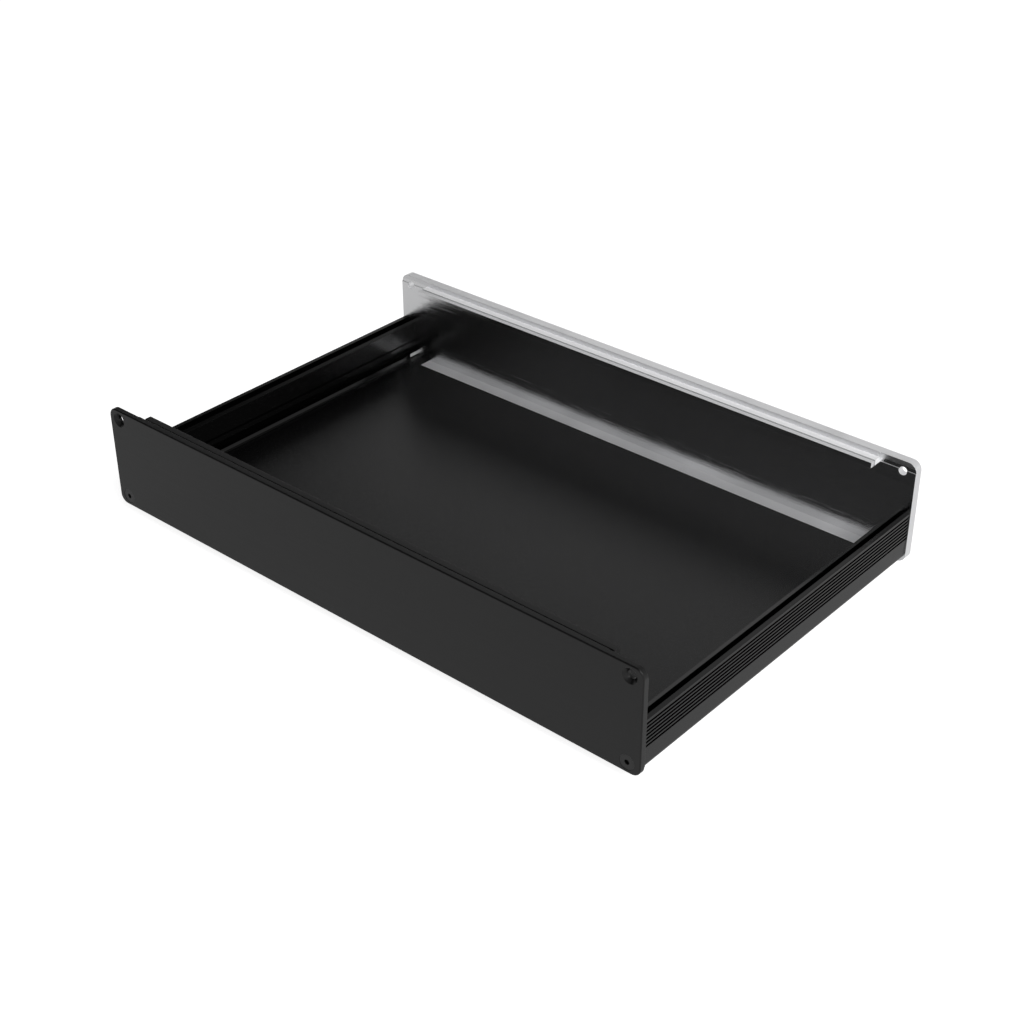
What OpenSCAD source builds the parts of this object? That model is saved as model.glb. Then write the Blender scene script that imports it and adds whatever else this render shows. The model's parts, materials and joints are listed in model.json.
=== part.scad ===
// Amplifier chassis with its cover taken off: a thick front panel, a thinner rear panel,
// two finned side rails of half height, and a bottom plate held in the rails' slots.
// X runs along the panels, Y from the rear panel to the front panel, Z up from the floor.

/* [Chassis] */
// Width of the front and rear panels
panel_w = 430; // [380:1:500]
// Height of the front and rear panels
panel_h = 70.5; // [64:0.5:120]
// Depth over both panels
chassis_d = 276.4; // [200:0.1:400]
// Height of the panels' lower edges above the floor
stand_h = 8; // [5:0.5:20]
// How far the panels reach past the body above and below
margin_z = 3.3; // [2.5:0.1:5]
// How far the panels reach past the rails at each side
margin_x = 0.9; // [0.3:0.1:2]

/* [Panels] */
// Thickness of the front panel
front_t = 7; // [5:0.5:10]
// Thickness of the rear panel
rear_t = 4.3; // [3.5:0.1:8]
// Radius of the panels' corners
panel_corner_r = 6; // [3:0.5:8]
// Bevel round the front panel's outer face
front_bevel = 0.4; // [0.2:0.1:2]
// Bevel round the rear panel's outer face
rear_bevel = 0.6; // [0.2:0.1:1.2]
// Gap between the lips' ends and the rails' ribs
lip_end_gap = 9.8; // [4:0.1:30]
// How far the front panel's lips reach inward
front_lip_d = 9.6; // [6:0.1:14]
// How far the rear panel's lips reach inward
rear_lip_d = 8.5; // [6:0.1:14]
// Thickness of the lips
lip_t = 3.8; // [3:0.1:5]
// Width of the guide groove along each lip
guide_w = 0.9; // [0.6:0.1:1.5]
// Depth of the guide groove
guide_d = 0.5; // [0.3:0.1:1]
// Distance of the guide groove from the free edge of the front panel's lips
front_guide_inset = 3.7; // [2:0.1:4.5]
// Distance of the guide groove from the free edge of the rear panel's lips
rear_guide_inset = 4.9; // [2:0.1:5.5]
// Height of the milled relief beyond the lips' ends
relief_h = 6; // [4:0.5:8]
// Depth of the milled relief
relief_d = 0.4; // [0.2:0.1:0.8]

/* [Corner screws] */
// Distance of the corner holes from the panels' ends
hole_inset_x = 9; // [8.5:0.1:9.5]
// Distance of the corner holes from the panels' upper and lower edges
hole_inset_z = 6.9; // [6.7:0.1:7.5]
// Diameter of the clearance holes in the panels
hole_d = 5.6; // [5.4:0.1:6.6]
// Diameter of the countersinks
sink_d = 10; // [9:0.1:11]
// Diameter of the screws' shanks
screw_d = 5; // [4:0.1:5]
// Length of the screws behind the panels
screw_reach = 9; // [6:0.5:14]
// How deep the screw heads sit below the panels' faces
head_sink = 0.2; // [0.1:0.05:0.4]
// Width of the hexagon sockets across flats
socket_af = 3; // [2.5:0.5:3]
// Depth of the hexagon sockets
socket_d = 2; // [1.5:0.1:2.5]

/* [Side rails] */
// How far the rails' outer walls reach above the panels' middle
rail_rise = 0.8; // [0.3:0.1:3]
// Thickness of the rails' outer walls
rail_wall_t = 3; // [2.6:0.1:4]
// Width of the joint slot in the rails' tops
joint_slot_w = 4.3; // [3.2:0.1:4.6]
// Depth of the joint slot
joint_slot_d = 17; // [8:0.5:18]
// Thickness of the rails' inner walls
inner_wall_t = 2.9; // [2.5:0.1:4]
// How far the inner walls stay below the outer ones
inner_wall_drop = 1.3; // [0.4:0.1:3]
// How far the inner walls' tops slope down to the inside
inner_wall_slope = 0.8; // [0.3:0.1:1.5]
// Radius of the rails' lower outer edges
rail_edge_r = 3.7; // [1:0.1:4.8]
// Number of grooves in the rails' outer faces
fin_n = 7; // [4:1:8]
// Spacing of the grooves
fin_pitch = 2.5; // [2:0.1:2.6]
// Width of the grooves
fin_w = 1.5; // [0.8:0.1:1.7]
// Depth of the grooves
fin_d = 1; // [0.5:0.1:1.4]
// Plain land above the uppermost groove
fin_top_land = 1.8; // [1:0.1:4]
// How far the two ribs reach in from the rails' outer faces
rib_reach = 14.8; // [14:0.1:20]
// Thickness of the ribs below the bottom plate
low_rib_t = 1.4; // [1.2:0.1:2]
// Thickness of the ribs above the bottom plate
top_rib_t = 1.4; // [1.2:0.1:2.5]
// Radius of the upper ribs' free edges
rib_edge_r = 0.3; // [0.2:0.1:1.2]
// How far the sloped feet of the inner walls reach over the upper ribs
wall_foot = 3.6; // [2:0.1:4]
// Length of the relief filed into the upper ribs at the front panel
rib_relief_l = 13; // [5:0.5:20]
// Depth of that relief
rib_relief_d = 3.9; // [2:0.1:4]
// Height of the nut channel above the upper rib
channel_lift = 1.6; // [1.2:0.1:2]
// Height of the nut channel
channel_h = 5; // [3:0.1:6]
// Depth of the nut channel
channel_d = 4; // [1:0.1:4.5]
// Height of the sight line above the nut channel
sight_lift = 4; // [2:0.1:6]
// Width of the sight line
sight_w = 0.9; // [0.6:0.1:1.5]
// Depth of the sight line
sight_d = 0.8; // [0.3:0.1:1.2]

/* [Bottom plate] */
// Thickness of the bottom plate
plate_t = 2.3; // [1.5:0.1:3]
// How far the plate enters the rails' slots
plate_grip = 2.9; // [1.5:0.1:3]
// Clearance of the plate in the slots, above and below
plate_clear = 0.1; // [0.05:0.05:0.2]
// Gap between the plate and what its edges face
plate_gap = 0.2; // [0.1:0.05:0.3]

/* [Feet] */
// Diameter of the rubber feet
foot_d = 18; // [12:0.5:30]
// Narrowing of the feet towards the floor
foot_taper = 1.5; // [0.5:0.1:3]
// Radius of the feet's lower edges
foot_edge_r = 1.5; // [0.5:0.1:2]
// Distance of the feet from the panels' ends
foot_inset_x = 55; // [35:1:120]
// Distance of the feet from the chassis' front and rear
foot_inset_y = 42; // [32:1:90]

/* [Hidden] */
$fn = 64;
// Overrun of a cut past the face that it opens
eps = 1;
// Play of a screw in the rail's screw port
port_play = 0.05;
silver = "Silver";
black = [0.12, 0.12, 0.13];
screw_black = [0.06, 0.06, 0.06];
rubber = [0.16, 0.16, 0.16];

z_body = stand_h + margin_z;
z_joint = stand_h + panel_h / 2;
z_hole_low = stand_h + hole_inset_z;
z_hole_high = stand_h + panel_h - hole_inset_z;
x_hole = panel_w / 2 - hole_inset_x;
y_front_in = chassis_d / 2 - front_t;
y_rear_in = rear_t - chassis_d / 2;
body_l = y_front_in - y_rear_in;
body_mid_y = (y_front_in + y_rear_in) / 2;

rail_x = panel_w / 2 - margin_x;
rail_h = z_joint + rail_rise - z_body;
rail_w = rail_wall_t + joint_slot_w + inner_wall_t;
lip_l = 2 * (rail_x - rib_reach - lip_end_gap);
port_u = rail_x - x_hole;
port_v = z_hole_low - z_body;
slot_v = low_rib_t;
slot_h = plate_t + 2 * plate_clear;
slot_u = rib_reach - plate_grip - plate_gap;
ribs_h = slot_v + slot_h + top_rib_t;
channel_v = ribs_h + channel_lift;
sight_v = channel_v + channel_h + sight_lift;

plate_w = 2 * (rail_x - rib_reach + plate_grip);
plate_l = body_l - 2 * plate_gap;
plate_z = z_body + slot_v + plate_clear;
notch_w = lip_l + 2 * plate_gap;

// Bar along x with its two outer edges bevelled, from y = 0 to y = t
module bevelled_bar(length, span, t, bevel) {
    rotate([90, 0, 90])
        linear_extrude(length, center = true)
            polygon([
                [0, -span / 2],
                [t - bevel, -span / 2],
                [t, bevel - span / 2],
                [t, span / 2 - bevel],
                [t - bevel, span / 2],
                [0, span / 2]
            ]);
}

// Panel blank with round corners, inner face at y = 0, and a bevel round its outer face at y = t
module panel_blank(t, bevel) {
    corner_x = panel_w / 2 - panel_corner_r;
    corner_z = panel_h / 2 - panel_corner_r;
    translate([0, 0, z_joint]) {
        bevelled_bar(2 * corner_x, panel_h, t, bevel);
        rotate([0, 90, 0]) bevelled_bar(2 * corner_z, panel_w, t, bevel);
        for (x = [-corner_x, corner_x], z = [-corner_z, corner_z]) translate([x, 0, z]) {
            y_turned(0, t - bevel, 2 * panel_corner_r, 2 * panel_corner_r);
            y_turned(t - bevel, t, 2 * panel_corner_r, 2 * (panel_corner_r - bevel));
        }
    }
}

// Lip along the lower edge of a panel's inner face, with the guide groove in its outer side
module lower_lip(t, depth, guide_inset) {
    difference() {
        translate([-lip_l / 2, -depth, z_body]) cube([lip_l, depth + t / 2, lip_t]);
        translate([-lip_l / 2 - eps, guide_inset - depth - guide_w / 2, z_body - eps])
            cube([lip_l + 2 * eps, guide_w, guide_d + eps]);
    }
}

// Shallow milling beyond the lips' ends, along the lower edge of a panel's inner face
module lower_relief() {
    cut_w = (panel_w - lip_l) / 2 + eps;
    for (x = [-panel_w / 2 - eps, lip_l / 2])
        translate([x, -eps, stand_h - eps]) cube([cut_w, relief_d + eps, relief_h + eps]);
}

// Copies its children to the upper half of the panel as well
module above_and_below() {
    children();
    translate([0, 0, 2 * z_joint]) mirror([0, 0, 1]) children();
}

// Cylinder or cone along y, from y0 to y1
module y_turned(y0, y1, d0, d1) {
    translate([0, y0, 0]) rotate([-90, 0, 0]) cylinder(d1 = d0, d2 = d1, h = y1 - y0);
}

// Countersunk through hole along y, with its outer mouth at y = t
module sunk_hole(t) {
    y_turned(-eps, t + eps, hole_d, hole_d);
    y_turned(t - (sink_d - hole_d) / 2, t, hole_d, sink_d);
    y_turned(t, t + eps, sink_d, sink_d);
}

// Panel with its lips, reliefs and four corner holes, inner face at y = 0
module panel(t, bevel, lip_depth, guide_inset) {
    difference() {
        union() {
            panel_blank(t, bevel);
            above_and_below() lower_lip(t, lip_depth, guide_inset);
        }
        above_and_below() lower_relief();
        for (x = [-x_hole, x_hole], z = [z_hole_low, z_hole_high])
            translate([x, 0, z]) sunk_hole(t);
    }
}

module front_panel() {
    color(silver)
        translate([0, y_front_in, 0]) panel(front_t, front_bevel, front_lip_d, front_guide_inset);
}

module rear_panel() {
    color(black)
        translate([0, y_rear_in, 0])
            rotate([0, 0, 180]) panel(rear_t, rear_bevel, rear_lip_d, rear_guide_inset);
}

// Section of a rail: u runs inward from the outer face, v up from the underside
module rail_section() {
    difference() {
        union() {
            square([rail_w, rail_h]);
            square([rib_reach, ribs_h]);
            // Sloped foot of the inner wall, up to the nut channel
            polygon([
                [0, ribs_h],
                [rail_w + wall_foot, ribs_h],
                [rail_w + wall_foot - channel_lift, channel_v],
                [0, channel_v]
            ]);
        }
        // Round free edge of the upper rib
        translate([rib_reach - rib_edge_r, ribs_h - rib_edge_r]) difference() {
            square(rib_edge_r + eps);
            circle(rib_edge_r);
        }
        // Round lower outer edge
        difference() {
            translate([-eps, -eps]) square(rail_edge_r + eps);
            translate([rail_edge_r, rail_edge_r]) circle(rail_edge_r);
        }
        // Joint slot, open at the top, and the sloped top of the lower inner wall
        translate([rail_wall_t, rail_h - joint_slot_d]) square([joint_slot_w, joint_slot_d + eps]);
        translate([rail_wall_t + joint_slot_w, rail_h - inner_wall_drop])
            polygon([
                [-joint_slot_w / 2, inner_wall_drop + eps],
                [-joint_slot_w / 2, 0],
                [0, 0],
                [inner_wall_t, -inner_wall_slope],
                [inner_wall_t + eps, -inner_wall_slope],
                [inner_wall_t + eps, inner_wall_drop + eps]
            ]);
        // Grooves in the outer face
        for (i = [0 : fin_n - 1])
            translate([-eps, rail_h - fin_top_land - fin_w - i * fin_pitch]) square([fin_d + eps, fin_w]);
        // Slot for the bottom plate, nut channel and sight line in the inner face
        translate([slot_u, slot_v]) square([rib_reach, slot_h]);
        translate([rail_w - channel_d, channel_v]) square([rail_w, channel_h]);
        translate([rail_w - sight_d, sight_v]) square([rail_w, sight_w]);
        // Screw port
        translate([port_u, port_v]) circle(d = screw_d + 2 * port_play);
    }
}

// Rail with its outer face at x = 0, reaching inward along x and back from y = 0 at the front panel
module rail() {
    color(black) difference() {
        rotate([90, 0, 0]) linear_extrude(body_l) rail_section();
        translate([rib_reach - rib_relief_d, -rib_relief_l, slot_v + slot_h])
            cube([rib_relief_d + eps, rib_relief_l + eps, top_rib_t + channel_lift]);
    }
}

module left_side_rail() {
    translate([-rail_x, y_front_in, z_body]) rail();
}

module right_side_rail() {
    translate([rail_x, y_front_in, z_body]) mirror([1, 0, 0]) rail();
}

module bottom_plate() {
    color(black)
        translate([0, body_mid_y, plate_z])
            linear_extrude(plate_t) difference() {
                square([plate_w, plate_l], center = true);
                translate([0, plate_l / 2]) square([notch_w, 2 * front_lip_d], center = true);
                translate([0, -plate_l / 2]) square([notch_w, 2 * rear_lip_d], center = true);
            }
}

// Countersunk screw with a hexagon socket, along y, head outward at y = t
module corner_screw(t) {
    head_d = sink_d - 2 * head_sink;
    cone_h = (head_d - screw_d) / 2;
    head_y = t - head_sink;
    difference() {
        union() {
            y_turned(-screw_reach, head_y, screw_d, screw_d);
            y_turned(head_y - cone_h, head_y, screw_d, head_d);
        }
        translate([0, head_y - socket_d, 0])
            rotate([-90, 0, 0]) cylinder(d = socket_af / cos(30), h = socket_d + eps, $fn = 6);
    }
}

// The pair of screws at the lower corners of a panel
module lower_screws(t) {
    color(screw_black)
        for (x = [-x_hole, x_hole]) translate([x, 0, z_hole_low]) corner_screw(t);
}

module front_panel_screws() {
    translate([0, y_front_in, 0]) lower_screws(front_t);
}

module rear_panel_screws() {
    translate([0, y_rear_in, 0]) rotate([0, 0, 180]) lower_screws(rear_t);
}

// Tapered rubber foot under the bottom plate
module foot(side_x, side_y) {
    top_r = foot_d / 2;
    low_r = top_r - foot_taper;
    color(rubber)
        translate([side_x * (panel_w / 2 - foot_inset_x), side_y * (chassis_d / 2 - foot_inset_y), 0])
            rotate_extrude() {
                polygon([
                    [0, 0],
                    [low_r - foot_edge_r, 0],
                    [low_r, foot_edge_r],
                    [top_r, plate_z],
                    [0, plate_z]
                ]);
                intersection() {
                    translate([low_r - foot_edge_r, foot_edge_r]) circle(foot_edge_r);
                    square([low_r, foot_edge_r]);
                }
            }
}

module rear_left_foot() { foot(-1, -1); }
module rear_right_foot() { foot(1, -1); }
module front_left_foot() { foot(-1, 1); }
module front_right_foot() { foot(1, 1); }

front_panel();
rear_panel();
bottom_plate();
left_side_rail();
right_side_rail();
front_panel_screws();
rear_panel_screws();
rear_left_foot();
rear_right_foot();
front_left_foot();
front_right_foot();
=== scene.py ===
"""Looks of the open amplifier chassis: anodised finishes, softened edges, studio light and camera."""

import json
import math

import bpy
from mathutils import Matrix, Vector

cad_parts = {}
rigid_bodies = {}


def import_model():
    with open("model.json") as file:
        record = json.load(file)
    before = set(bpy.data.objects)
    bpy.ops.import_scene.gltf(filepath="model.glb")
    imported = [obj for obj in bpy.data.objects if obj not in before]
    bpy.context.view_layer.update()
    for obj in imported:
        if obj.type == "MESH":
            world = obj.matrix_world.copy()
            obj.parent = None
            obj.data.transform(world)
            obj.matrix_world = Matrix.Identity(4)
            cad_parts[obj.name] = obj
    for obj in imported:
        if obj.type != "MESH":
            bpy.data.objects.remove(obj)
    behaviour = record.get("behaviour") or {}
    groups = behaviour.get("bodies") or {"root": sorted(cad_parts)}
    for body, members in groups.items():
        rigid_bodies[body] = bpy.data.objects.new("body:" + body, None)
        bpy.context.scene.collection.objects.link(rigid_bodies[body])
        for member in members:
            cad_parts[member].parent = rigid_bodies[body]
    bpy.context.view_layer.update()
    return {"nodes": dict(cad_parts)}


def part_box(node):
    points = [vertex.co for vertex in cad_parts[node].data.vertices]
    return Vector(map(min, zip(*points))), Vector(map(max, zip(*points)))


MM = 0.001
WHITE = (1.0, 1.0, 1.0, 1.0)

# Camera fitted to the photograph: place in metres, view axes as unit vectors
CAMERA_PLACE = Vector((0.63606, -0.72062, 0.62136))
CAMERA_RIGHT = Vector((0.75468, 0.65608, -0.00437))
CAMERA_UP = Vector((-0.34487, 0.40234, 0.84805))
CAMERA_LENS_MM = 62.4
SENSOR_MM = 36.0

# Softened edges: radius by node, the angles in radians that count as an edge and as flat, how much
# large flat faces weigh in the shading, and the gap under which points are merged
EDGE_RADIUS = {
    "front_panel": 0.35 * MM,
    "rear_panel": 0.3 * MM,
    "bottom_plate": 0.15 * MM,
    "left_side_rail": 0.08 * MM,
    "right_side_rail": 0.08 * MM,
    "front_panel_screws": 0.12 * MM,
    "rear_panel_screws": 0.12 * MM,
}
EDGE_ANGLE = 0.5
EDGE_SEGMENTS = 2
FLAT_ANGLE = 0.01
FLAT_WEIGHT = 100
WELD_GAP = 0.002 * MM

# Grain of the finishes, in waves a metre along each axis
GRAIN_ALONG_X = (15.0, 4000.0, 4000.0)
GRAIN_ALONG_Y = (4000.0, 15.0, 4000.0)
GRAIN_FINE = (2500.0, 2500.0, 2500.0)
GRAIN_STROKES = (30.0, 1800.0, 1800.0)
GRAIN_SPECKLE = (1500.0, 1500.0, 1500.0)
GRAIN_CLOUDS = (30.0, 30.0, 30.0)
GRAIN_WANDER = (8.0, 8.0, 8.0)
GRAIN_DETAIL = 3.0

# Middle range of a noise, and how far the brush marks wander from straight
NOISE_LOW = 0.3
NOISE_HIGH = 0.7
BRUSH_WANDER = 0.05

# Black finishes: darkest and lightest colour, range of roughness, grain and its depth in metres,
# axis across the brush marks, anisotropy and gloss
SATIN_BLACK = ((0.0008, 0.0008, 0.0009), (0.0014, 0.0014, 0.0016))
DEEP_BLACK = ((0.0003, 0.0003, 0.0003), (0.0006, 0.0006, 0.0006))
ACROSS_X = (1.0, 0.0, 0.0)
ACROSS_Z = (0.0, 0.0, 1.0)
BLACK_FINISHES = {
    "rear_panel_look": (SATIN_BLACK, (0.3, 0.4), GRAIN_ALONG_X, 0.004 * MM, ACROSS_Z, 0.3, 0.36),
    "rail_look": (DEEP_BLACK, (0.15, 0.22), GRAIN_ALONG_Y, 0.004 * MM, ACROSS_Z, 0.3, 0.3),
    "plate_look": (SATIN_BLACK, (0.22, 0.28), GRAIN_FINE, 0.08 * MM, ACROSS_X, 0.0, 0.44),
    "screw_look": (SATIN_BLACK, (0.3, 0.4), GRAIN_FINE, 0.004 * MM, ACROSS_X, 0.0, 0.5),
}

# Bare filed metal at the front end of each rail's upper rib, painted bright to stand in for the glint
# there (painted highlight):
# its depth behind the rib's free edge, its length from the rail's front end, and its lowest and highest
# place above the rail's foot
GLINT_PATCH_DEPTH = 4.0 * MM
GLINT_PATCH_LENGTH = 6.4 * MM
GLINT_PATCH_FROM = 4.5 * MM
GLINT_PATCH_TO = 7.8 * MM
GLINT_PATCH_COLOUR = (0.34, 0.34, 0.336, 1.0)
GLINT_PATCH_ROUGHNESS = 0.6

# Painted shade in the grooves of each rail's inner wall, where their reflection is taken out: lowest and
# highest place above the rail's foot, and where they begin behind the upper rib's free edge. They all
# end at the same depth behind that edge.
GROOVE_SHADE_ZONES = {
    "nut_channel": (6.8 * MM, 12.0 * MM, 2.7 * MM),
    "sight_line": (15.5 * MM, 17.2 * MM, 4.4 * MM),
}
GROOVE_SHADE_BACK = 9.2 * MM

# Front panel's finishes: reflectance, metallic, roughness, depth of the brush marks in metres.
# The band, the painted shade along the groove, and the strip lie side by side on the upper lip, lip is
# the lower lip, wall is the narrow face between the upper lip and the panel's upper edge, and inner is
# the inner face below it. The painted shade is a darker colour along the groove, where its shade falls.
FRONT_FINISHES = {
    "band": (0.97, 0.0, 0.5, 0.004 * MM),
    "groove": (0.45, 0.0, 0.6, 0.004 * MM),
    "strip": (0.73, 0.2, 0.45, 0.004 * MM),
    "lip": (0.79, 0.8, 0.45, 0.008 * MM),
    "wall": (0.78, 1.0, 0.3, 0.008 * MM),
    "inner": (0.84, 1.0, 0.09, 0.058 * MM),
    "outer": (0.97, 1.0, 0.3, 0.008 * MM),
}
REFLECTANCE, METALLIC, ROUGHNESS, MARK_DEPTH = range(4)

# Silver on the whole front panel: two tints, anisotropy, the most that the streaks add to the
# roughness, and the depth of the strokes against that of the streaks
SILVER_TINTS = ((0.95, 0.952, 0.965), (0.985, 0.987, 1.0))
SILVER_ANISOTROPY = 0.6
SILVER_STREAK_ROUGHNESS = 0.06
STROKES_TO_STREAKS = 0.9

# Where the front panel's finishes meet: height of the wall, place and width of the painted shade along
# the groove, and how squarely a face has to point to the rear to count as facing inward
WALL_HEIGHT = 3.4 * MM
GROOVE_SHADE_FROM_PANEL = 5.0 * MM
GROOVE_SHADE_WIDTH = 1.4 * MM
FACING_LIMIT = 0.7

# Rubber of the feet
RUBBER_TINTS = ((0.018, 0.018, 0.018), (0.03, 0.03, 0.03))
RUBBER_ROUGHNESS = (0.7, 0.85)

# Floor, and how brightly it glows towards the camera and in reflections
FLOOR_SIZE = 30.0
FLOOR_COLOUR = (0.5, 0.5, 0.5, 1.0)
FLOOR_GLOW_SEEN = 0.85
FLOOR_GLOW_MIRRORED = 0.28

# Sky: white at the horizon, evenly bright above it, dimmer overhead and to the rear. Each change runs
# from one height of a unit direction to another, and to the rear from one y to another. ZENITH and
# REAR are the shares of the brightness left.
SKY_BRIGHT = 0.62
SKY_HORIZON_FROM = 0.08
SKY_HORIZON_TO = 0.18
SKY_ZENITH = 0.1
SKY_ZENITH_FROM = 0.7
SKY_ZENITH_TO = 0.85
SKY_REAR = 0.6
SKY_REAR_FROM = 0.1
SKY_REAR_TO = -0.3

# Dim parts of the sky: share of the brightness left, direction of the middle, and the cosines of the
# angles from it at which the dimming begins and is full
SKY_DIM_PARTS = {
    "left_rear": (0.0645, (-0.831, -0.342, 0.44), 0.83, 0.95),
    "upper_left": (0.05, (-0.5, 0.2, 0.84), 0.875, 0.925),
    "left_front": (0.1, (-0.787, 0.418, 0.454), 0.961, 0.99),
}

# Key light: place and side in metres, and its brightness as a multiple of white
KEY_PLACE = Vector((1.5, -0.7, 1.5))
KEY_SIZE = 1.2
KEY_RADIANCE = 8.5


def clear_scene():
    for thing in list(bpy.data.objects):
        bpy.data.objects.remove(thing)


# Node helpers


def new_material(name):
    material = bpy.data.materials.new(name)
    material.use_nodes = True
    nodes = material.node_tree.nodes
    nodes.clear()
    output = nodes.new("ShaderNodeOutputMaterial")
    return material, nodes, material.node_tree.links, output


def noise(nodes, links, grain):
    """Noise with the given number of waves a metre along each axis of the object."""
    place = nodes.new("ShaderNodeTexCoord")
    mapping = nodes.new("ShaderNodeMapping")
    mapping.inputs["Scale"].default_value = grain
    texture = nodes.new("ShaderNodeTexNoise")
    texture.inputs["Scale"].default_value = 1.0
    texture.inputs["Detail"].default_value = GRAIN_DETAIL
    links.new(place.outputs["Object"], mapping.inputs["Vector"])
    links.new(mapping.outputs["Vector"], texture.inputs["Vector"])
    return texture.outputs["Fac"]


def ramp(nodes, links, source, low, high):
    """Maps a noise's middle range onto low to high, as a number."""
    spread = nodes.new("ShaderNodeMapRange")
    spread.inputs["From Min"].default_value = NOISE_LOW
    spread.inputs["From Max"].default_value = NOISE_HIGH
    spread.inputs["To Min"].default_value = low
    spread.inputs["To Max"].default_value = high
    links.new(source, spread.inputs["Value"])
    return spread.outputs["Result"]


def tint(nodes, links, source, low, high):
    """Maps a noise's middle range onto two colours."""
    colours = nodes.new("ShaderNodeValToRGB")
    colours.color_ramp.elements[0].position = NOISE_LOW
    colours.color_ramp.elements[0].color = (*low, 1.0)
    colours.color_ramp.elements[1].position = NOISE_HIGH
    colours.color_ramp.elements[1].color = (*high, 1.0)
    links.new(source, colours.inputs["Fac"])
    return colours.outputs["Color"]


def fade(nodes, links, source, start, end, low, high):
    """A smooth change from low to high as the source goes from start to end."""
    change = nodes.new("ShaderNodeMapRange")
    change.interpolation_type = "SMOOTHSTEP"
    change.inputs["From Min"].default_value = start
    change.inputs["From Max"].default_value = end
    change.inputs["To Min"].default_value = low
    change.inputs["To Max"].default_value = high
    links.new(source, change.inputs["Value"])
    return change.outputs["Result"]


def combine(nodes, links, operation, one, other):
    """Two values put together by a mathematical operation."""
    result = nodes.new("ShaderNodeMath")
    result.operation = operation
    links.new(one, result.inputs[0])
    links.new(other, result.inputs[1])
    return result.outputs["Value"]


def compare(nodes, links, source, operation, limit):
    """1 where the source is above or below the limit, and 0 elsewhere."""
    test = nodes.new("ShaderNodeMath")
    test.operation = operation
    test.inputs[1].default_value = limit
    links.new(source, test.inputs[0])
    return test.outputs["Value"]


def between(nodes, links, source, start, end):
    """1 where the source lies between start and end, and 0 elsewhere."""
    above = compare(nodes, links, source, "GREATER_THAN", start)
    below = compare(nodes, links, source, "LESS_THAN", end)
    return combine(nodes, links, "MULTIPLY", above, below)


def pick(nodes, links, mask, off, on):
    """One number where the mask is 0 and another where it is 1; either may come from a node."""
    chooser = nodes.new("ShaderNodeMix")
    links.new(mask, chooser.inputs["Factor"])
    for socket, value in (("A", off), ("B", on)):
        if isinstance(value, float):
            chooser.inputs[socket].default_value = value
        else:
            links.new(value, chooser.inputs[socket])
    return chooser.outputs["Result"]


def place_and_facing(nodes, links):
    """The object's own coordinates and its surface's facing, each split into axes."""
    coordinates = nodes.new("ShaderNodeTexCoord")
    place = nodes.new("ShaderNodeSeparateXYZ")
    links.new(coordinates.outputs["Object"], place.inputs["Vector"])
    geometry = nodes.new("ShaderNodeNewGeometry")
    facing = nodes.new("ShaderNodeSeparateXYZ")
    links.new(geometry.outputs["Normal"], facing.inputs["Vector"])
    return place.outputs, facing.outputs


def from_middle(nodes, links, place):
    """Distance sideways from the middle of the chassis, which is the same on both rails."""
    distance = nodes.new("ShaderNodeMath")
    distance.operation = "ABSOLUTE"
    links.new(place["X"], distance.inputs[0])
    return distance.outputs["Value"]


def brushed_way(nodes, links, across):
    """Tangent across the brush marks, with the slight wander of a real brushing."""
    wander = ramp(nodes, links, noise(nodes, links, GRAIN_WANDER), -BRUSH_WANDER, BRUSH_WANDER)
    tangent = nodes.new("ShaderNodeCombineXYZ")
    for axis, value in zip("XYZ", across):
        tangent.inputs[axis].default_value = value
    links.new(wander, tangent.inputs["XYZ"[across.index(0.0)]])
    return tangent.outputs["Vector"]


# Finishes


def anodised(name):
    """Black anodised aluminium with a grain in colour, roughness and relief."""
    colours, roughness, grain, depth, across, anisotropy, gloss = BLACK_FINISHES[name]
    material, nodes, links, output = new_material(name)
    shader = nodes.new("ShaderNodeBsdfPrincipled")
    shader.inputs["Specular IOR Level"].default_value = gloss
    shader.inputs["Anisotropic"].default_value = anisotropy
    streaks = noise(nodes, links, grain)
    clouds = noise(nodes, links, GRAIN_CLOUDS)
    links.new(tint(nodes, links, clouds, *colours), shader.inputs["Base Color"])
    links.new(ramp(nodes, links, streaks, *roughness), shader.inputs["Roughness"])
    links.new(brushed_way(nodes, links, across), shader.inputs["Tangent"])
    bump = nodes.new("ShaderNodeBump")
    bump.inputs["Strength"].default_value = 1.0
    bump.inputs["Distance"].default_value = depth
    links.new(streaks, bump.inputs["Height"])
    links.new(bump.outputs["Normal"], shader.inputs["Normal"])
    links.new(shader.outputs["BSDF"], output.inputs["Surface"])
    return material


def paint_bare_glint(material):
    """Bare filed aluminium at the front end of each rail's upper rib, painted bright as a glint: a
    painted highlight.
    """
    nodes = material.node_tree.nodes
    links = material.node_tree.links
    shader = nodes["Principled BSDF"]
    low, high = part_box("left_side_rail")
    rib_edge = -high.x
    place, _ = place_and_facing(nodes, links)
    sideways = from_middle(nodes, links, place)
    in_rib = compare(nodes, links, sideways, "LESS_THAN", rib_edge + GLINT_PATCH_DEPTH)
    at_front = compare(nodes, links, place["Y"], "GREATER_THAN", high.y - GLINT_PATCH_LENGTH)
    upright = between(nodes, links, place["Z"], low.z + GLINT_PATCH_FROM, low.z + GLINT_PATCH_TO)
    bare_glint = combine(nodes, links, "MULTIPLY", in_rib, at_front)
    bare_glint = combine(nodes, links, "MULTIPLY", bare_glint, upright)
    # Painted highlight: the patch's light colour stands in for the glint on the filed metal.
    colour = nodes.new("ShaderNodeMix")
    colour.data_type = "RGBA"
    links.new(bare_glint, colour.inputs["Factor"])
    links.new(shader.inputs["Base Color"].links[0].from_socket, colour.inputs["A"])
    colour.inputs["B"].default_value = GLINT_PATCH_COLOUR
    links.new(colour.outputs["Result"], shader.inputs["Base Color"])
    black_roughness = shader.inputs["Roughness"].links[0].from_socket
    links.new(pick(nodes, links, bare_glint, black_roughness, GLINT_PATCH_ROUGHNESS), shader.inputs["Roughness"])


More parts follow.
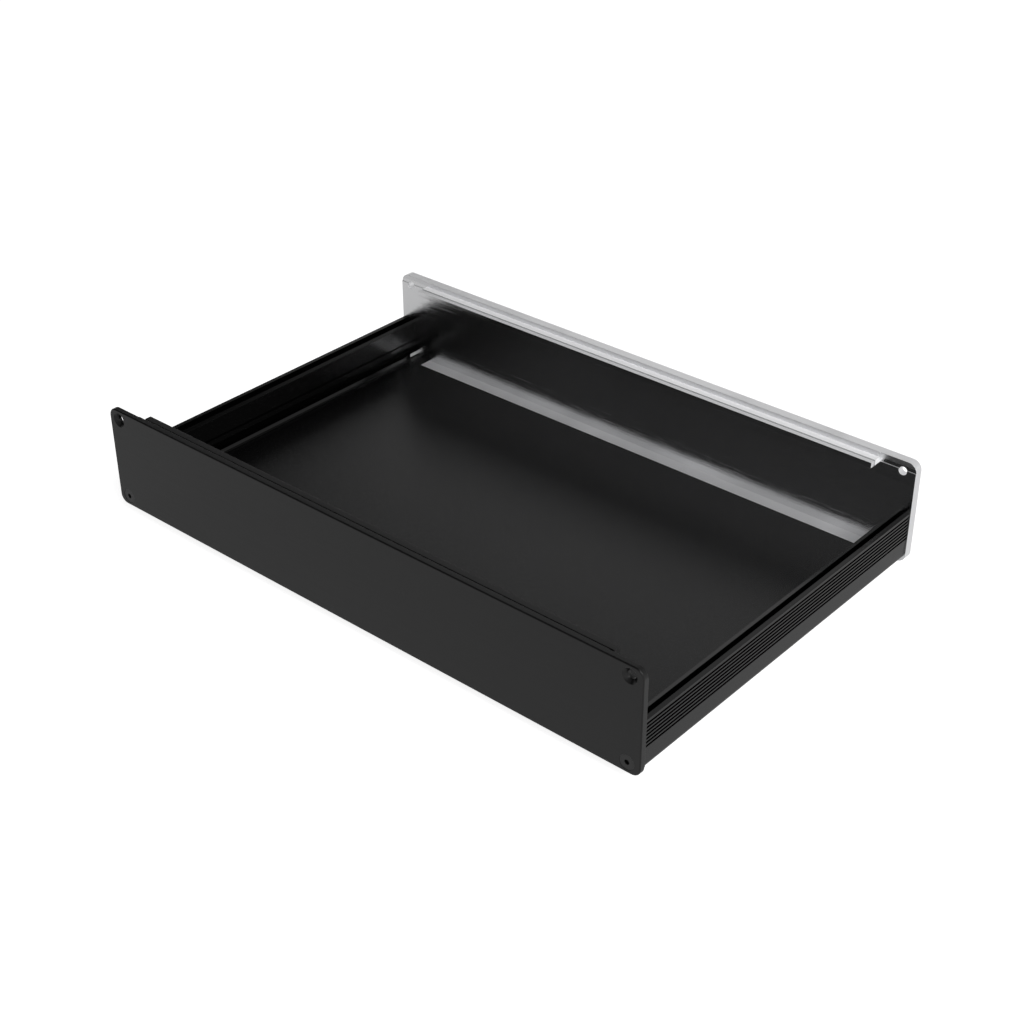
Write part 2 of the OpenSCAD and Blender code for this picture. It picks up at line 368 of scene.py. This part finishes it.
def dull_grooves(material):
    """Painted shade inside the nut channel and along the sight line of each rail's inner wall: no
    reflection there.
    """
    nodes = material.node_tree.nodes
    links = material.node_tree.links
    low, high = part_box("left_side_rail")
    rib_edge = -high.x
    place, _ = place_and_facing(nodes, links)
    sideways = from_middle(nodes, links, place)
    grooves = []
    for start, end, front in GROOVE_SHADE_ZONES.values():
        upright = between(nodes, links, place["Z"], low.z + start, low.z + end)
        inside = between(nodes, links, sideways, rib_edge + front, rib_edge + GROOVE_SHADE_BACK)
        grooves.append(combine(nodes, links, "MULTIPLY", upright, inside))
    painted_shade = combine(nodes, links, "MAXIMUM", *grooves)
    # Painted shade: specular tint 0 takes the reflection out inside the grooves, where shade falls in
    # the recesses.
    links.new(pick(nodes, links, painted_shade, 1.0, 0.0), nodes["Principled BSDF"].inputs["Specular Tint"])


def rail_finish():
    material = anodised("rail_look")
    # Filed metal at each rib's front end, painted bright as a glint.
    paint_bare_glint(material)
    # Painted shade in the grooves of the inner wall.
    dull_grooves(material)
    return material


def front_panel_lines():
    """Where one finish of the front panel ends and the next begins."""
    inner_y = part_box("left_side_rail")[1].y
    low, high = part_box("front_panel")
    return {
        "inner_y": inner_y,
        "groove_y": inner_y - GROOVE_SHADE_FROM_PANEL,
        "wall_z": high.z - WALL_HEIGHT,
        "middle_z": (low.z + high.z) / 2,
    }


def by_finish(nodes, links, lines, column):
    """One property of the front panel's finishes, laid out over its faces."""
    value = {finish: row[column] for finish, row in FRONT_FINISHES.items()}
    place, facing = place_and_facing(nodes, links)
    inward = compare(nodes, links, facing["Y"], "LESS_THAN", -FACING_LIMIT)
    below_wall = compare(nodes, links, place["Z"], "LESS_THAN", lines["wall_z"])
    inside = compare(nodes, links, place["Y"], "LESS_THAN", lines["inner_y"])
    before_groove = compare(nodes, links, place["Y"], "GREATER_THAN", lines["groove_y"])
    past_groove = compare(nodes, links, place["Y"], "LESS_THAN", lines["groove_y"] - GROOVE_SHADE_WIDTH)
    upper = compare(nodes, links, place["Z"], "GREATER_THAN", lines["middle_z"])
    # Painted shade: the darker colour along the groove stands in for the shade that falls in it.
    upper_lip = pick(nodes, links, before_groove, value["groove"], value["band"])
    upper_lip = pick(nodes, links, past_groove, upper_lip, value["strip"])
    lips = pick(nodes, links, upper, value["lip"], upper_lip)
    milled = pick(nodes, links, inside, value["outer"], lips)
    facing_in = pick(nodes, links, below_wall, value["wall"], value["inner"])
    return pick(nodes, links, inward, milled, facing_in)


def silver_finish():
    """Brushed silver aluminium: mirror-like inner face, satin milled lips, bright outer faces."""
    lines = front_panel_lines()
    material, nodes, links, output = new_material("front_panel_look")
    shader = nodes.new("ShaderNodeBsdfPrincipled")
    shader.inputs["Anisotropic"].default_value = SILVER_ANISOTROPY
    streaks = noise(nodes, links, GRAIN_ALONG_X)
    strokes = noise(nodes, links, GRAIN_STROKES)
    clouds = noise(nodes, links, GRAIN_CLOUDS)
    shade = nodes.new("ShaderNodeMix")
    shade.data_type = "RGBA"
    shade.blend_type = "MULTIPLY"
    shade.inputs["Factor"].default_value = 1.0
    links.new(by_finish(nodes, links, lines, REFLECTANCE), shade.inputs["A"])
    links.new(tint(nodes, links, clouds, *SILVER_TINTS), shade.inputs["B"])
    links.new(shade.outputs["Result"], shader.inputs["Base Color"])
    links.new(by_finish(nodes, links, lines, METALLIC), shader.inputs["Metallic"])
    added = ramp(nodes, links, streaks, 0.0, SILVER_STREAK_ROUGHNESS)
    rough = combine(nodes, links, "ADD", by_finish(nodes, links, lines, ROUGHNESS), added)
    links.new(rough, shader.inputs["Roughness"])
    links.new(brushed_way(nodes, links, ACROSS_Z), shader.inputs["Tangent"])
    marks = nodes.new("ShaderNodeMath")
    marks.operation = "MULTIPLY_ADD"
    marks.inputs[1].default_value = STROKES_TO_STREAKS
    links.new(strokes, marks.inputs[0])
    links.new(streaks, marks.inputs[2])
    bump = nodes.new("ShaderNodeBump")
    bump.inputs["Strength"].default_value = 1.0
    links.new(by_finish(nodes, links, lines, MARK_DEPTH), bump.inputs["Distance"])
    links.new(marks.outputs["Value"], bump.inputs["Height"])
    links.new(bump.outputs["Normal"], shader.inputs["Normal"])
    links.new(shader.outputs["BSDF"], output.inputs["Surface"])
    return material


def rubber():
    material, nodes, links, output = new_material("black_rubber_look")
    shader = nodes.new("ShaderNodeBsdfPrincipled")
    speckle = noise(nodes, links, GRAIN_SPECKLE)
    links.new(tint(nodes, links, speckle, *RUBBER_TINTS), shader.inputs["Base Color"])
    links.new(ramp(nodes, links, speckle, *RUBBER_ROUGHNESS), shader.inputs["Roughness"])
    links.new(shader.outputs["BSDF"], output.inputs["Surface"])
    return material


# The object


def soften_edges(piece, radius):
    weld = piece.modifiers.new("weld", "WELD")
    weld.merge_threshold = WELD_GAP
    flatten = piece.modifiers.new("flatten", "DECIMATE")
    flatten.decimate_type = "DISSOLVE"
    flatten.angle_limit = FLAT_ANGLE
    bevel = piece.modifiers.new("edges", "BEVEL")
    bevel.width = radius
    bevel.segments = EDGE_SEGMENTS
    bevel.limit_method = "ANGLE"
    bevel.angle_limit = EDGE_ANGLE
    smooth = piece.modifiers.new("shading", "WEIGHTED_NORMAL")
    smooth.mode = "FACE_AREA"
    smooth.weight = FLAT_WEIGHT


def dress(nodes):
    """Gives each CAD node its finish, and the nodes listed in EDGE_RADIUS softened edges; the nodes not
    named here are the feet.
    """
    rails = rail_finish()
    screws = anodised("screw_look")
    feet = rubber()
    looks = {
        "front_panel": silver_finish(),
        "rear_panel": anodised("rear_panel_look"),
        "bottom_plate": anodised("plate_look"),
        "left_side_rail": rails,
        "right_side_rail": rails,
        "front_panel_screws": screws,
        "rear_panel_screws": screws,
    }
    for name, piece in nodes.items():
        for slot in piece.material_slots:
            slot.material = looks.get(name, feet)
        if name in EDGE_RADIUS:
            soften_edges(piece, EDGE_RADIUS[name])


# The stage


def make_floor():
    """White floor: it glows towards the camera and in reflections, and still takes the shadow."""
    mesh = bpy.data.meshes.new("floor")
    half = FLOOR_SIZE / 2
    corners = [(-half, -half, 0), (half, -half, 0), (half, half, 0), (-half, half, 0)]
    mesh.from_pydata(corners, [], [(0, 1, 2, 3)])
    floor = bpy.data.objects.new("floor", mesh)
    bpy.context.scene.collection.objects.link(floor)
    material, nodes, links, output = new_material("floor_look")
    paper = nodes.new("ShaderNodeBsdfDiffuse")
    paper.inputs["Color"].default_value = FLOOR_COLOUR
    rays = nodes.new("ShaderNodeLightPath").outputs
    mirrored = combine(nodes, links, "MAXIMUM", rays["Is Glossy Ray"], rays["Is Transmission Ray"])
    strength = pick(nodes, links, mirrored, 0.0, FLOOR_GLOW_MIRRORED)
    strength = pick(nodes, links, rays["Is Camera Ray"], strength, FLOOR_GLOW_SEEN)
    glow = nodes.new("ShaderNodeEmission")
    glow.inputs["Color"].default_value = WHITE
    links.new(strength, glow.inputs["Strength"])
    mix = nodes.new("ShaderNodeAddShader")
    links.new(paper.outputs["BSDF"], mix.inputs[0])
    links.new(glow.outputs["Emission"], mix.inputs[1])
    links.new(mix.outputs["Shader"], output.inputs["Surface"])
    mesh.materials.append(material)


def nearness(nodes, links, way, aim):
    """The cosine of the angle between a direction and an aim."""
    product = nodes.new("ShaderNodeVectorMath")
    product.operation = "DOT_PRODUCT"
    product.inputs[1].default_value = Vector(aim).normalized()
    links.new(way, product.inputs[0])
    return product.outputs["Value"]


def make_sky():
    """Soft studio sky: white at the horizon, bright above it, with dim parts overhead, rear and left."""
    world = bpy.data.worlds.new("studio")
    bpy.context.scene.world = world
    world.use_nodes = True
    nodes = world.node_tree.nodes
    links = world.node_tree.links
    nodes.clear()
    output = nodes.new("ShaderNodeOutputWorld")
    way = nodes.new("ShaderNodeTexCoord").outputs["Generated"]
    split = nodes.new("ShaderNodeSeparateXYZ")
    links.new(way, split.inputs["Vector"])
    height = split.outputs["Z"]
    overhead = SKY_BRIGHT * SKY_ZENITH
    upper = fade(nodes, links, height, SKY_ZENITH_FROM, SKY_ZENITH_TO, SKY_BRIGHT, overhead)
    rear = fade(nodes, links, split.outputs["Y"], SKY_REAR_TO, SKY_REAR_FROM, SKY_REAR, 1.0)
    upper = combine(nodes, links, "MULTIPLY", upper, rear)
    for share, aim, start, end in SKY_DIM_PARTS.values():
        dimming = fade(nodes, links, nearness(nodes, links, way, aim), start, end, 1.0, share)
        upper = combine(nodes, links, "MULTIPLY", upper, dimming)
    above_horizon = fade(nodes, links, height, SKY_HORIZON_FROM, SKY_HORIZON_TO, 0.0, 1.0)
    light = nodes.new("ShaderNodeBackground")
    light.inputs["Color"].default_value = WHITE
    links.new(pick(nodes, links, above_horizon, 1.0, upper), light.inputs["Strength"])
    links.new(light.outputs["Background"], output.inputs["Surface"])


def make_key_light():
    """Square soft light aimed at the origin."""
    lamp = bpy.data.lights.new("key", "AREA")
    lamp.shape = "SQUARE"
    lamp.size = KEY_SIZE
    lamp.energy = KEY_RADIANCE * math.pi * KEY_SIZE * KEY_SIZE
    holder = bpy.data.objects.new("key", lamp)
    bpy.context.scene.collection.objects.link(holder)
    holder.location = KEY_PLACE
    holder.rotation_euler = (-KEY_PLACE).to_track_quat("-Z", "Y").to_euler()


def make_camera():
    lens = bpy.data.cameras.new("camera")
    lens.lens = CAMERA_LENS_MM
    lens.sensor_width = SENSOR_MM
    lens.sensor_fit = "HORIZONTAL"
    camera = bpy.data.objects.new("camera", lens)
    bpy.context.scene.collection.objects.link(camera)
    back = CAMERA_RIGHT.cross(CAMERA_UP)
    turn = Matrix((CAMERA_RIGHT, CAMERA_UP, back)).transposed()
    camera.matrix_world = Matrix.Translation(CAMERA_PLACE) @ turn.to_4x4()
    bpy.context.scene.camera = camera


clear_scene()
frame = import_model()
dress(frame["nodes"])
make_floor()
make_sky()
make_key_light()
make_camera()
bpy.context.scene.view_settings.view_transform = "Standard"
